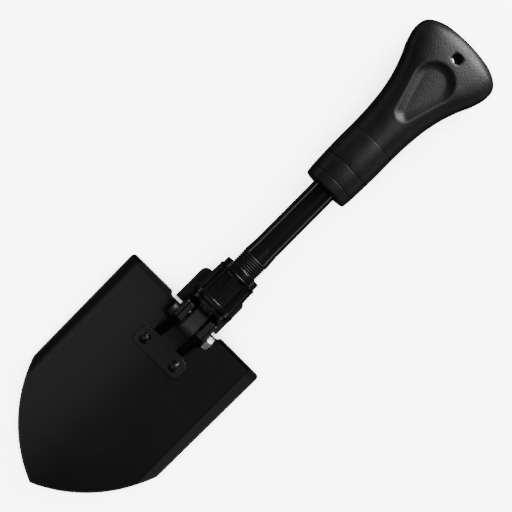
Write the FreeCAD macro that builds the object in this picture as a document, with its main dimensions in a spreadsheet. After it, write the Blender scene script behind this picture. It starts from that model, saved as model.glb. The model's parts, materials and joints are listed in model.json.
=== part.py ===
import FreeCAD, Part
import math
import os
import re
import Sketcher

# A folding camp shovel with a telescoping handle, in millimetres.
#
# +Y runs along the handle towards the grip, +X to the right, +Z up from the blade's hollow face.
# The origin is the bottom centre of the bounding box. Y is stated below from the hinge bolt's
# axis, and the pieces get there through their Placement. "axis" levels are measured from the
# tube's centre line and "pin" levels from the hinge bolt's centre line.

doc = FreeCAD.newDocument("CampShovel")
sheet = doc.addObject("Spreadsheet::Sheet", "Dims")

SIZES = {
    # overall reach from the hinge bolt
    "blade_reach": 151.3,
    "grip_reach": 267.9,
    # blade
    "blade_half": 60.1,
    "side_taper": 1.3,
    "shoulder_reach": 88.2,
    "front_edge_radius": 105.0,
    "blade_back": 9.0,
    "notch_back": 6.4,
    "notch_half": 21.2,
    "back_corner_radius": 3.0,
    "sheet_thick": 2.0,
    "flange_width": 7.0,
    "flange_rise": 2.8,
    "blade_drop": 18.5,
    # hinge bracket and cam plates
    "base_front": 33.8,
    "base_waist": 21.1,
    "base_half": 20.9,
    "base_back": 6.0,
    "base_corner_radius": 4.0,
    "base_thick": 2.0,
    "ear_inner": 11.6,
    "ear_thick": 2.0,
    "ear_front": 18.6,
    "ear_top": 8.5,
    "ear_top_front": 1.0,
    "ear_round": 14.7,
    "ear_low": 11.0,
    "cam_inner": 7.1,
    "cam_thick": 4.1,
    "lobe_reach": 16.7,
    "lobe_high": 2.0,
    "lobe_low": 10.0,
    "rivet_half_spacing": 13.9,
    "rivet_place": 26.9,
    "rivet_head_radius": 4.15,
    "rivet_head_rise": 2.2,
    "rivet_shank_radius": 2.4,
    "rivet_tail_radius": 3.6,
    "rivet_tail_rise": 0.9,
    # hinge bolt
    "bolt_radius": 3.0,
    "bolt_clearance": 0.05,
    "washer_thick": 1.0,
    "washer_radius": 6.6,
    "bolt_head_radius": 6.0,
    "bolt_head_rise": 3.4,
    "hinge_nut_flats": 10.0,
    "hinge_nut_rise": 4.7,
    "bolt_end_rise": 1.2,
    # tongue, neck and hammer plate
    "pin_rise": 2.0,
    "tongue_half": 5.5,
    "tongue_chamfer": 1.0,
    "tongue_round": 7.1,
    "tongue_back": 11.8,
    "tongue_slope": 3.0,
    "bush_wall": 1.2,
    "neck_front": 8.0,
    "neck_radius": 6.4,
    "shank_gap": 0.1,
    "shank_end": 44.0,
    "web_half": 4.5,
    "web_front": 8.5,
    "web_back": 16.8,
    "plate_front": 8.45,
    "plate_back": 37.5,
    "plate_half": 19.3,
    "plate_corner_radius": 5.0,
    "plate_gap": 0.4,
    "plate_thick": 3.5,
    "screw_radius": 2.0,
    "screw_depth": 9.0,
    "screw_head_radius": 3.6,
    "screw_head_thick": 2.0,
    # threaded sleeve and tube
    "fit_gap": 0.05,
    "slide_gap": 0.08,
    "sleeve_front": 17.4,
    "sleeve_back": 63.4,
    "sleeve_radius": 10.15,
    "sleeve_wall": 1.7,
    "tube_front": 22.0,
    "tube_back": 190.0,
    "tube_radius": 9.3,
    "spigot_wall": 1.1,
    "flare_back": 73.5,
    "flare_rise": 0.75,
    "yoke_pin_place": 36.0,
    "yoke_pin_radius": 2.0,
    "groove_front": 108.0,
    "groove_half": 2.0,
    "groove_depth": 0.9,
    "stop_front": 176.3,
    "stop_length": 6.7,
    "plug_shank": 8.0,
    "plug_head": 1.5,
    # thrust ring and lock nut
    "ring_front": 17.1,
    "ring_back": 20.3,
    "ring_wall": 6.15,
    "nut_gap": 0.1,
    "rim_back": 24.5,
    "rim_wall": 7.35,
    "flute_front_wall": 5.9,
    "flute_back_wall": 5.15,
    "flute_back": 46.8,
    "flute_count": 10,
    "flute_radius": 4.6,
    "flute_depth": 1.6,
    "flute_phase": 14.3,
    "nut_collar_wall": 3.9,
    "nut_back": 52.05,
    "insert_wall": 2.2,
    "insert_front": 22.2,
    "insert_back": 50.0,
    "thrust_washer_thick": 1.6,
    # handle collar
    "seam_gap": 0.2,
    "wiper_front": 129.1,
    "wiper_back": 136.7,
    "wiper_front_wall": 7.8,
    "wiper_back_wall": 8.5,
    "wiper_lip": 0.6,
    "band_back": 149.6,
    "band_back_wall": 8.95,
    "collar_back": 173.9,
    "collar_mid_wall": 9.2,
    "collar_back_wall": 9.0,
    "collar_gap": 0.1,
    "seal_wall": 2.1,
    "seal_width": 1.5,
    "nose_wall": 0.5,
    "liner_wall": 1.1,
    "collet_slot": 1.2,
    "collet_slot_end": 156.0,
    "liner_front": 160.0,
    "bore_inset": 22.9,
    "stop_wall": 2.2,
    "key_front": 162.0,
    "key_length": 10.0,
    "key_half": 1.9,
    "bumper_thick": 2.7,
    # grip
    "lanyard_inset": 15.2,
    "lanyard_radius": 3.55,
    "scoop_inset": 46.4,
    "scoop_half_length": 29.0,
    "scoop_half_width": 18.0,
    "scoop_half_height": 12.0,
    "scoop_depth": 2.6,
}

# The grip's cross-sections are ellipses: how far each stands before the grip's end, as a share
# of the grip's length, and how far its side and its top stand from the tube's surface. One more
# ellipse meets the twist collar.
GRIP_SECTIONS = [
    ("neck", 0.83049, 9.5, 9.1),
    ("rise", 0.68124, 10.9, 8.9),
    ("swell", 0.54264, 13.5, 8.5),
    ("palm", 0.41471, 17.5, 7.9),
    ("flare", 0.29744, 22.4, 7.2),
    ("wide", 0.1855, 25.0, 6.1),
    ("crown", 0.09062, 22.9, 4.3),
    ("rim", 0.02665, 13.2, 1.2),
]
for section, share, side_wall, top_wall in GRIP_SECTIONS:
    SIZES[section + "_share"] = share
    SIZES[section + "_side_wall"] = side_wall
    SIZES[section + "_top_wall"] = top_wall
SIZES["end_half_width"] = 12.0
SIZES["end_half_height"] = 6.0

for row, (alias, value) in enumerate(SIZES.items(), start=1):
    sheet.set("A%d" % row, alias.replace("_", " "))
    sheet.set("B%d" % row, str(value))
    sheet.setAlias("B%d" % row, alias)
doc.recompute()

# Sizes that follow from others, so that what fits together stays together.
FOLLOWS = {
    "shoulder_half": "blade_half - side_taper",
    "sleeve_bore": "sleeve_radius - sleeve_wall",
    "spigot_radius": "sleeve_bore - fit_gap",
    "tube_bore": "spigot_radius - spigot_wall",
    "shank_radius": "tube_bore - shank_gap",
    "flare_radius": "tube_radius + flare_rise",
    "ring_radius": "sleeve_radius + ring_wall",
    "rim_radius": "sleeve_radius + rim_wall",
    "flute_front_radius": "sleeve_radius + flute_front_wall",
    "flute_back_radius": "sleeve_radius + flute_back_wall",
    "nut_collar_radius": "sleeve_radius + nut_collar_wall",
    "plate_drop": "rim_radius + plate_gap",
    "wiper_front_radius": "tube_radius + wiper_front_wall",
    "wiper_back_radius": "tube_radius + wiper_back_wall",
    "band_back_radius": "tube_radius + band_back_wall",
    "collar_mid_radius": "tube_radius + collar_mid_wall",
    "collar_back_radius": "tube_radius + collar_back_wall",
    "liner_bore": "tube_radius + stop_wall",
    "collet_radius": "liner_bore + liner_wall",
    "collet_nose": "liner_bore + nose_wall",
    "collar_bore": "collet_radius + collar_gap",
    "liner_back": "grip_reach - bore_inset",
    "lanyard_place": "grip_reach - lanyard_inset",
    "scoop_centre": "grip_reach - scoop_inset",
    "front_place": "collar_back + seam_gap",
    "front_half_width": "collar_back_radius",
    "front_half_height": "collar_back_radius",
}
for section in [row[0] for row in GRIP_SECTIONS]:
    FOLLOWS[section + "_place"] = "grip_reach - %s_share * (grip_reach - front_place)" % section
    FOLLOWS[section + "_half_width"] = "tube_radius + %s_side_wall" % section
    FOLLOWS[section + "_half_height"] = "tube_radius + %s_top_wall" % section

NODES = []


# ---------------------------------------------------------------- expressions and placements

def bound(text):
    """Turn a formula in size names into one that reads the spreadsheet's cells."""
    def cell(word):
        name = word[0]
        if name in FOLLOWS:
            return "(%s)" % bound(FOLLOWS[name])
        return "Dims." + name if name in SIZES else name
    return re.sub(r"[a-z]\w*", cell, text)


def value_of(text):
    result = sheet.evalExpression(bound(text))
    return float(getattr(result, "Value", result))


def bind(item, **formulas):
    """Bind properties to formulas; a double underscore stands for a dot."""
    for name, text in formulas.items():
        item.setExpression(name.replace("__", "."), bound(text))


PIN_PLACE = "(blade_reach - grip_reach) / 2"
AXIS_LEVEL = "plate_drop + plate_thick"
PIN_LEVEL = AXIS_LEVEL + " + pin_rise"


def register(item, label, level):
    """Name a finished sub-part and place it at the hinge bolt's station."""
    item.Label = label
    bind(item, Placement__Base__y=PIN_PLACE, Placement__Base__z=level)
    NODES.append(item)
    return item


# ---------------------------------------------------------------- sketches and features

def new_body(name):
    return doc.addObject("PartDesign::Body", name)


def origin_plane(body, role):
    return next(item for item in body.Origin.OriginFeatures if item.Role == role)


def sketch_on(body, name, role, offset="0"):
    sketch = body.newObject("Sketcher::SketchObject", name)
    sketch.AttachmentSupport = [(origin_plane(body, role), "")]
    sketch.MapMode = "FlatFace"
    bind(sketch, AttachmentOffset__Base__z=offset)
    return sketch


def pin_point(sketch, edge, end, across, up):
    """Fix a vertex at its two formulas, measured from the sketch's origin."""
    for kind, axis, text in (("DistanceX", -2, across), ("DistanceY", -1, up)):
        if text == "0":
            sketch.addConstraint(Sketcher.Constraint("PointOnObject", edge, end, axis))
            continue
        index = sketch.addConstraint(Sketcher.Constraint(kind, -1, 1, edge, end, value_of(text)))
        sketch.setExpression("Constraints[%d]" % index, bound(text))


def arc_between(start, end, radius, side):
    """An arc from start to end; side +1 has its centre on the left, -1 on the right."""
    chord = end - start
    left = FreeCAD.Vector(-chord.y, chord.x, 0).normalize()
    reach = math.sqrt(radius ** 2 - (chord.Length / 2) ** 2)
    centre = (start + end) * 0.5 + left * (side * reach)
    first, last = (start, end) if side > 0 else (end, start)
    turn = [math.atan2(point.y - centre.y, point.x - centre.x) for point in (first, last)]
    if turn[1] < turn[0]:
        turn[1] += 2 * math.pi
    return Part.ArcOfCircle(Part.Circle(centre, FreeCAD.Vector(0, 0, 1), radius), *turn)


def draw_loop(sketch, corners):
    """Draw a closed loop. A corner is (across, up), or (across, up, radius, side) before an arc."""
    points = [FreeCAD.Vector(value_of(corner[0]), value_of(corner[1]), 0) for corner in corners]
    for number, corner in enumerate(corners):
        start, end = points[number], points[(number + 1) % len(points)]
        following = corners[(number + 1) % len(corners)]
        if len(corner) == 2:
            edge = sketch.addGeometry(Part.LineSegment(start, end), False)
            first, last = 1, 2
        else:
            arc = arc_between(start, end, value_of(corner[2]), corner[3])
            edge = sketch.addGeometry(arc, False)
            first, last = (1, 2) if corner[3] > 0 else (2, 1)
            index = sketch.addConstraint(Sketcher.Constraint("Radius", edge, value_of(corner[2])))
            sketch.setExpression("Constraints[%d]" % index, bound(corner[2]))
        pin_point(sketch, edge, first, corner[0], corner[1])
        pin_point(sketch, edge, last, following[0], following[1])


def draw_circle(sketch, across, up, radius):
    centre = FreeCAD.Vector(value_of(across), value_of(up), 0)
    circle = Part.Circle(centre, FreeCAD.Vector(0, 0, 1), value_of(radius))
    edge = sketch.addGeometry(circle, False)
    index = sketch.addConstraint(Sketcher.Constraint("Radius", edge, value_of(radius)))
    sketch.setExpression("Constraints[%d]" % index, bound(radius))
    pin_point(sketch, edge, 3, across, up)


def pad(body, name, sketch, length):
    feature = body.newObject("PartDesign::Pad", name)
    feature.Profile = sketch
    bind(feature, Length=length)
    return feature


def pocket(body, name, sketch, length):
    """Cut along the sketch's own normal, the way that a pad would grow."""
    before = solid_volume(body)
    feature = body.newObject("PartDesign::Pocket", name)
    feature.Profile = sketch
    feature.Reversed = True
    bind(feature, Length=length)
    if solid_volume(body) > before - 0.01:
        raise RuntimeError(name + " cuts nothing")
    return feature


def solid_volume(body):
    doc.recompute()
    return body.Shape.Volume


def revolve(body, name, sketch):
    feature = body.newObject("PartDesign::Revolution", name)
    feature.Profile = sketch
    feature.ReferenceAxis = (sketch, ["H_Axis"])
    feature.Angle = 360
    return feature


def round_edges(body, name, radius, wanted):
    """Fillet the body's edges whose ends and middle pass the test."""
    doc.recompute()
    tip = body.Tip
    edges = ["Edge%d" % number for number, edge in enumerate(tip.Shape.Edges, start=1)
             if wanted(edge)]
    feature = body.newObject("PartDesign::Fillet", name)
    feature.Base = (tip, edges)
    bind(feature, Radius=radius)
    return feature


def along(edge, axis):
    """True where a straight edge runs along a unit axis."""
    if edge.Curve.TypeId != "Part::GeomLine":
        return False
    return abs(edge.Curve.Direction.dot(axis)) > 0.999


def upright_at(across, back):
    """A test for the upright edges at a place given by size, in the body's own frame."""
    def wanted(edge):
        middle = edge.CenterOfMass
        near = abs(abs(middle.x) - value_of(across)) < 0.01 and abs(middle.y - value_of(back)) < 0.01
        return near and along(edge, FreeCAD.Vector(0, 0, 1))
    return wanted


def turned(label, corners, role="YZ_Plane", level=AXIS_LEVEL):
    """A turned piece from its half section, (along, radius). YZ turns about Y and XY about X."""
    name = label.title().replace("_", "")
    body = new_body(name)
    sketch = sketch_on(body, name + "Section", role)
    draw_loop(sketch, corners)
    revolve(body, name + "Turned", sketch)
    return register(body, label, level)


def tube_section(front, back, bore, radius):
    return [(front, bore), (back, bore), (back, radius), (front, radius)]


# ---------------------------------------------------------------- primitives

TURN_TO = {
    "X": FreeCAD.Rotation(FreeCAD.Vector(0, 1, 0), 90),
    "Y": FreeCAD.Rotation(FreeCAD.Vector(1, 0, 0), -90),
    "Z": FreeCAD.Rotation(),
}


def move_to(item, x, y, z):
    bind(item, Placement__Base__x=x, Placement__Base__y=y, Placement__Base__z=z)


def cylinder(name, radius, length, axis, x, y, z):
    """A round bar that starts at x, y, z and runs along an axis."""
    item = doc.addObject("Part::Cylinder", name)
    item.Placement = FreeCAD.Placement(FreeCAD.Vector(), TURN_TO[axis])
    bind(item, Radius=radius, Height=length)
    move_to(item, x, y, z)
    return item


def cut(name, base, tool):
    item = doc.addObject("Part::Cut", name)
    item.Base, item.Tool = base, tool
    return item


def group(name, items):
    """Several separate solids that share a node."""
    item = doc.addObject("Part::Compound", name)
    item.Links = items
    return item


def washer(name, inner, outer, thick, x):
    """A flat ring round the hinge bolt, starting at x."""
    disc = cylinder(name + "Disc", outer, thick, "X", x, "0", "0")
    hole = cylinder(name + "Hole", inner, thick, "X", x, "0", "0")
    return cut(name, disc, hole)


# ---------------------------------------------------------------- sizes that follow from others

EAR_OUTER = "(ear_inner + ear_thick)"
FLOOR = "(-blade_drop + base_thick)"
WASHER_OUTER = "(ear_inner + ear_thick + washer_thick)"
BOLT_HOLE = "(bolt_radius + bolt_clearance)"
BUSH_RADIUS = "(bolt_radius + bolt_clearance + bush_wall)"
SLEEVE_SLIDE = "(sleeve_radius + slide_gap)"
TUBE_SLIDE = "(tube_radius + slide_gap)"
NUT_FRONT = "(ring_back + nut_gap)"
NUT_BORE = "(sleeve_radius + slide_gap + insert_wall)"
SEAL_FRONT = "(wiper_front + wiper_lip)"
SEAL_BACK = "(wiper_front + wiper_lip + seal_width)"
SEAL_RADIUS = "(tube_radius + slide_gap + seal_wall)"
COLLET_BACK = "(stop_front - seam_gap)"
SCREW_PLACE = "(web_front + web_back) / 2"


# ---------------------------------------------------------------- blade and hinge bracket

def rivet_holes(body, name):
    """Two holes for the rivets, cut down through a body from above."""
    sketch = sketch_on(body, name + "Circles", "XY_Plane", "-blade_drop - 2 * sheet_thick")
    for across in ("rivet_half_spacing", "-rivet_half_spacing"):
        draw_circle(sketch, across, "-rivet_place", "rivet_shank_radius + fit_gap")
    pocket(body, name, sketch, "4 * sheet_thick + base_thick")


def make_blade():
    """A channel-shaped sheet, long enough for the whole blade, trimmed to the blade's outline."""
    body = new_body("Blade")
    section = sketch_on(body, "BladeSection", "XZ_Plane", "-blade_back")
    bend, top, under = "(blade_half - flange_width)", "-blade_drop", "-blade_drop - sheet_thick"
    draw_loop(section, [
        ("-blade_half", under + " + flange_rise"), ("-" + bend, under),
        (bend, under), ("blade_half", under + " + flange_rise"),
        ("blade_half", top + " + flange_rise"), (bend, top),
        ("-" + bend, top), ("-blade_half", top + " + flange_rise"),
    ])
    pad(body, "BladeSheet", section, "blade_reach + blade_back")
    outline = sketch_on(body, "BladeOutline", "XY_Plane", "-blade_drop - 2 * sheet_thick")
    draw_loop(outline, [
        ("0", "-blade_reach", "front_edge_radius", 1),
        ("shoulder_half", "-shoulder_reach"),
        ("blade_half", "blade_back"),
        ("notch_half + blade_back - notch_back", "blade_back"),
        ("notch_half", "notch_back"),
        ("-notch_half", "notch_back"),
        ("-notch_half - blade_back + notch_back", "blade_back"),
        ("-blade_half", "blade_back"),
        ("-shoulder_half", "-shoulder_reach", "front_edge_radius", 1),
    ])
    draw_loop(outline, [
        ("-blade_half - sheet_thick", "-blade_reach - sheet_thick"),
        ("blade_half + sheet_thick", "-blade_reach - sheet_thick"),
        ("blade_half + sheet_thick", "blade_back + sheet_thick"),
        ("-blade_half - sheet_thick", "blade_back + sheet_thick"),
    ])
    pocket(body, "BladeTrim", outline, "flange_rise + 3 * sheet_thick")
    rivet_holes(body, "BladeRivetHoles")
    round_edges(body, "BladeCorners", "back_corner_radius", back_corner)
    return register(body, "blade", PIN_LEVEL)


def back_corner(edge):
    middle = edge.CenterOfMass
    at_side = abs(abs(middle.x) - value_of("blade_half")) < 0.01
    at_back = abs(middle.y - value_of("blade_back")) < 0.01
    return at_side and at_back and along(edge, FreeCAD.Vector(0, 0, 1))


def bolt_hole(body, name, half_width, radius, level="0"):
    """A hole along X through both sides of a body, at the hinge bolt."""
    sketch = sketch_on(body, name + "Circle", "YZ_Plane", "-" + half_width)
    draw_circle(sketch, "0", level, radius)
    pocket(body, name, sketch, "2 * " + half_width)


def make_bracket():
    """A base plate with two lobes for the rivets, and two ears for the hinge bolt."""
    body = new_body("HingeBracket")
    base = sketch_on(body, "BaseOutline", "XY_Plane", "-blade_drop")
    draw_loop(base, [
        ("-base_half", "-base_front"), ("base_half", "-base_front"),
        ("base_half", "-base_waist"), (EAR_OUTER, "-ear_front"), (EAR_OUTER, "base_back"),
        ("-" + EAR_OUTER, "base_back"), ("-" + EAR_OUTER, "-ear_front"),
        ("-base_half", "-base_waist"),
    ])
    pad(body, "BasePlate", base, "base_thick")
    round_edges(body, "LobeCorners", "base_corner_radius", upright_at("base_half", "-base_front"))
    round_edges(body, "WaistCorners", "base_corner_radius", upright_at("base_half", "-base_waist"))
    rivet_holes(body, "BracketRivetHoles")
    for side, start in (("Right", "ear_inner"), ("Left", "-" + EAR_OUTER)):
        ear = sketch_on(body, side + "EarOutline", "YZ_Plane", start)
        draw_loop(ear, [
            ("-ear_front", FLOOR), ("base_back", FLOOR),
            ("sqrt(ear_round ^ 2 - ear_low ^ 2)", "-ear_low", "ear_round", 1),
            ("sqrt(ear_round ^ 2 - ear_top ^ 2)", "ear_top"), ("-ear_top_front", "ear_top"),
        ])
        pad(body, side + "Ear", ear, "ear_thick")
    bolt_hole(body, "EarHoles", EAR_OUTER, BOLT_HOLE)
    return register(body, "hinge_bracket", PIN_LEVEL)


def make_cam_plate(side, start):
    """A thick plate beside an ear; its flat lobe faces the thrust ring while the blade is open."""
    body = new_body("CamPlate" + side.title())
    outline = sketch_on(body, side.title() + "CamOutline", "YZ_Plane", start)
    draw_loop(outline, [
        ("-ear_front", FLOOR), ("base_back", FLOOR),
        ("lobe_reach", "-lobe_low"), ("lobe_reach", "-lobe_high"),
        ("ear_round", "0", "ear_round", 1),
        ("sqrt(ear_round ^ 2 - ear_top ^ 2)", "ear_top"), ("-ear_top_front", "ear_top"),
    ])
    pad(body, side.title() + "Cam", outline, "cam_thick")
    bolt_hole(body, side.title() + "CamHole", "(cam_inner + cam_thick)", BOLT_HOLE)
    return register(body, "cam_plate_" + side, PIN_LEVEL)


def make_rivets():
    """Two rivets with domed heads above the bracket and set tails below the blade."""
    rivets = []
    for side, across in (("Right", "rivet_half_spacing"), ("Left", "-rivet_half_spacing")):
        body = new_body(side + "Rivet")
        section = sketch_on(body, side + "RivetSection", "XZ_Plane")
        under = "-blade_drop - sheet_thick"
        dome = "(rivet_head_radius ^ 2 + rivet_head_rise ^ 2) / (2 * rivet_head_rise)"
        draw_loop(section, [
            ("0", under + " - rivet_tail_rise"),
            ("rivet_tail_radius", under + " - rivet_tail_rise"), ("rivet_tail_radius", under),
            ("rivet_shank_radius", under), ("rivet_shank_radius", FLOOR),
            ("rivet_head_radius", FLOOR, dome, 1), ("0", FLOOR + " + rivet_head_rise"),
        ])
        turn = revolve(body, side + "RivetTurned", section)
        turn.ReferenceAxis = (section, ["V_Axis"])
        move_to(body, across, "-rivet_place", "0")
        rivets.append(body)
    return register(group("Rivets", rivets), "bracket_rivets", PIN_LEVEL)


# ---------------------------------------------------------------- hinge bolt

def make_bolt_set():
    turned("hinge_bolt", [
        ("-%s - bolt_head_rise" % WASHER_OUTER, "0"),
        (WASHER_OUTER + " + hinge_nut_rise + bolt_end_rise", "0"),
        (WASHER_OUTER + " + hinge_nut_rise + bolt_end_rise", "bolt_radius"),
        ("-" + WASHER_OUTER, "bolt_radius"), ("-" + WASHER_OUTER, "bolt_head_radius"),
        ("-%s - bolt_head_rise + washer_thick" % WASHER_OUTER, "bolt_head_radius"),
        ("-%s - bolt_head_rise" % WASHER_OUTER, "bolt_head_radius - washer_thick"),
    ], role="XY_Plane", level=PIN_LEVEL)

    nut = new_body("HingeNut")
    hexagon = sketch_on(nut, "HingeNutHexagon", "YZ_Plane", WASHER_OUTER)
    corner = "hinge_nut_flats / sqrt(3) * %s(%d deg)"
    draw_loop(hexagon, [(corner % ("cos", turn), corner % ("sin", turn))
                        for turn in range(15, 375, 60)])
    draw_circle(hexagon, "0", "0", BOLT_HOLE)
    pad(nut, "HingeNutBlank", hexagon, "hinge_nut_rise")
    register(nut, "hinge_nut", PIN_LEVEL)

    outer = [washer(side + "Washer", BOLT_HOLE, "washer_radius", "washer_thick", start)
             for side, start in (("Right", EAR_OUTER), ("Left", "-" + WASHER_OUTER))]
    register(group("HingeWashers", outer), "hinge_washers", PIN_LEVEL)
    space = "(cam_inner - tongue_half)"
    inner = [washer(side + "Friction", BOLT_HOLE, "bush_wall + bolt_radius + washer_thick",
                    space + " - slide_gap", start)
             for side, start in (("Right", "tongue_half + slide_gap"), ("Left", "-cam_inner"))]
    register(group("FrictionWashers", inner), "friction_washers", PIN_LEVEL)


# ---------------------------------------------------------------- yoke and hammer plate

def make_yoke():
    """Tongue for the hinge, neck, web for the hammer plate, and a shank inside the tube."""
    body = new_body("Yoke")
    tongue = sketch_on(body, "TongueOutline", "YZ_Plane", "-tongue_half")
    draw_loop(tongue, [
        ("0", "pin_rise - tongue_round"),
        ("tongue_back + tongue_slope", "pin_rise - tongue_round"),
        ("tongue_back + tongue_slope", "pin_rise + tongue_round - tongue_slope"),
        ("tongue_back", "pin_rise + tongue_round"),
        ("0", "pin_rise + tongue_round", "tongue_round", 1),
        ("-tongue_round", "pin_rise", "tongue_round", 1),
    ])
    blank = pad(body, "Tongue", tongue, "2 * tongue_half")
    doc.recompute()
    edges = ["Edge%d" % number for number, edge in enumerate(blank.Shape.Edges, start=1)
             if abs(abs(edge.CenterOfMass.x) - value_of("tongue_half")) < 0.01
             and edge.CenterOfMass.y < value_of("tongue_back")]
    bevel = body.newObject("PartDesign::Chamfer", "TongueBevel")
    bevel.Base = (blank, edges)
    bind(bevel, Size="tongue_chamfer")

    neck = sketch_on(body, "NeckSection", "YZ_Plane")
    draw_loop(neck, [
        ("neck_front", "0"), ("shank_end", "0"), ("shank_end", "shank_radius"),
        ("tube_front - fit_gap", "shank_radius"), ("tube_front - fit_gap", "spigot_radius"),
        ("sleeve_front", "spigot_radius"), ("sleeve_front", "neck_radius"),
        ("neck_front", "neck_radius"),
    ])
    revolve(body, "Neck", neck)
    web = sketch_on(body, "WebOutline", "YZ_Plane", "-web_half")
    draw_loop(web, [
        ("web_front", "-plate_drop"), ("web_back", "-plate_drop"), ("web_back", "-web_half"),
        ("web_front", "-web_half"),
    ])
    pad(body, "Web", web, "2 * web_half")
    bolt_hole(body, "BushHole", "tongue_half", BUSH_RADIUS + " + fit_gap", "pin_rise")
    pin_hole(body, "ShankPinHole")
    screw = sketch_on(body, "ScrewHoleCircle", "XY_Plane", "-plate_drop")
    draw_circle(screw, "0", SCREW_PLACE, "screw_radius + fit_gap")
    pocket(body, "ScrewHole", screw, "screw_depth")
    return register(body, "yoke", AXIS_LEVEL)


def pin_hole(body, name):
    """The cross hole for the pin that holds shank and tube together."""
    sketch = sketch_on(body, name + "Circle", "YZ_Plane", "-sleeve_bore")
    draw_circle(sketch, "yoke_pin_place", "0", "yoke_pin_radius + fit_gap")
    pocket(body, name, sketch, "2 * sleeve_bore")


def make_hammer_plate():
    body = new_body("HammerPlate")
    outline = sketch_on(body, "PlateOutline", "XY_Plane", "-plate_drop - plate_thick")
    draw_loop(outline, [
        ("-plate_half", "plate_front"), ("plate_half", "plate_front"),
        ("plate_half", "plate_back"), ("-plate_half", "plate_back"),
    ])
    pad(body, "PlateBlank", outline, "plate_thick")
    round_edges(body, "PlateCorners", "plate_corner_radius", upright_at("plate_half", "plate_back"))
    for name, radius, depth in (("PlateHole", "screw_radius + fit_gap", "plate_thick"),
                                ("PlateRecess", "screw_head_radius + fit_gap", "screw_head_thick")):
        sketch = sketch_on(body, name + "Circle", "XY_Plane", "-plate_drop - plate_thick")
        draw_circle(sketch, "0", SCREW_PLACE, radius)
        pocket(body, name, sketch, depth)
    register(body, "hammer_plate", AXIS_LEVEL)

    shank = cylinder("ScrewShank", "screw_radius", "plate_thick + screw_depth - washer_thick", "Z",
                     "0", SCREW_PLACE, "-plate_drop - plate_thick")
    head = cylinder("ScrewHead", "screw_head_radius", "screw_head_thick", "Z",
                    "0", SCREW_PLACE, "-plate_drop - plate_thick")
    screw = doc.addObject("Part::MultiFuse", "PlateScrew")
    screw.Shapes = [shank, head]
    register(screw, "plate_screw", AXIS_LEVEL)


# ---------------------------------------------------------------- tube and its fittings

def make_tube():
    body = new_body("ShaftTube")
    section = sketch_on(body, "TubeSection", "YZ_Plane")
    draw_loop(section, [
        ("tube_front", "tube_bore"), ("tube_back", "tube_bore"), ("tube_back", "tube_radius"),
        ("flare_back", "tube_radius"), ("sleeve_back", "flare_radius"),
        ("sleeve_back", "spigot_radius"), ("tube_front", "spigot_radius"),
    ])
    revolve(body, "TubeTurned", section)
    pin_hole(body, "TubePinHole")
    groove = sketch_on(body, "GrooveOutline", "XY_Plane", "-tube_radius - groove_depth")
    draw_loop(groove, [
        ("-groove_half", "groove_front"), ("groove_half", "groove_front"),
        ("groove_half", "stop_front"), ("-groove_half", "stop_front"),
    ])
    pocket(body, "Groove", groove, "2 * groove_depth")
    return register(body, "shaft_tube", AXIS_LEVEL)


def make_shaft_fittings():
    turned("tongue_bush", tube_section("-tongue_half", "tongue_half", BOLT_HOLE, BUSH_RADIUS),
           role="XY_Plane", level=PIN_LEVEL)
    turned("threaded_sleeve", tube_section("sleeve_front", "sleeve_back", "sleeve_bore",
                                           "sleeve_radius"))
    half_pin = "sqrt(spigot_radius ^ 2 - yoke_pin_radius ^ 2)"
    pin = cylinder("YokePin", "yoke_pin_radius", "2 * " + half_pin, "X",
                   "-" + half_pin, "yoke_pin_place", "0")
    register(group("YokePinNode", [pin]), "yoke_pin", AXIS_LEVEL)
    turned("stop_ring", tube_section("stop_front", "stop_front + stop_length",
                                     "tube_radius + fit_gap", "liner_bore - slide_gap"))
    turned("tube_plug", [
        ("tube_back - plug_shank", "0"), ("tube_back + plug_head", "0"),
        ("tube_back + plug_head", "tube_radius"), ("tube_back", "tube_radius"),
        ("tube_back", "tube_bore - fit_gap"), ("tube_back - plug_shank", "tube_bore - fit_gap"),
    ])


# ---------------------------------------------------------------- lock nut

def make_lock_nut():
    """A hand nut with a plain front rim, a fluted barrel and a smaller back collar."""
    body = new_body("LockNut")
    section = sketch_on(body, "LockNutSection", "YZ_Plane")
    draw_loop(section, [
        (NUT_FRONT, NUT_BORE), ("insert_back", NUT_BORE),
        ("insert_back", "sleeve_radius + 3 * slide_gap"),
        ("nut_back", "sleeve_radius + 3 * slide_gap"), ("nut_back", "nut_collar_radius"),
        ("flute_back", "nut_collar_radius"), ("flute_back", "flute_back_radius"),
        ("rim_back", "flute_front_radius"), ("rim_back", "rim_radius"), (NUT_FRONT, "rim_radius"),
    ])
    revolve(body, "LockNutTurned", section)
    circle = sketch_on(body, "FluteCircle", "XZ_Plane", "-flute_back + flute_depth")
    centre = "(flute_front_radius - flute_depth + flute_radius) * %s(flute_phase * 1 deg)"
    draw_circle(circle, centre % "sin", centre % "cos", "flute_radius")
    flute = pocket(body, "Flute", circle, "flute_back - flute_depth - rim_back")
    pattern = body.newObject("PartDesign::PolarPattern", "Flutes")
    pattern.Originals = [flute]
    pattern.Axis = (circle, ["N_Axis"])
    pattern.Angle = 360
    bind(pattern, Occurrences="flute_count")
    body.Tip = pattern
    return register(body, "lock_nut", AXIS_LEVEL)


def make_nut_fittings():
    turned("nut_insert", tube_section("insert_front", "insert_back", SLEEVE_SLIDE,
                                      NUT_BORE + " - fit_gap"))
    turned("thrust_ring", tube_section("ring_front", "ring_back", SLEEVE_SLIDE, "ring_radius"))
    turned("thrust_washer", tube_section("ring_back", "ring_back + thrust_washer_thick",
                                         SLEEVE_SLIDE, NUT_BORE + " - slide_gap"))


# ---------------------------------------------------------------- handle collar

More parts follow.
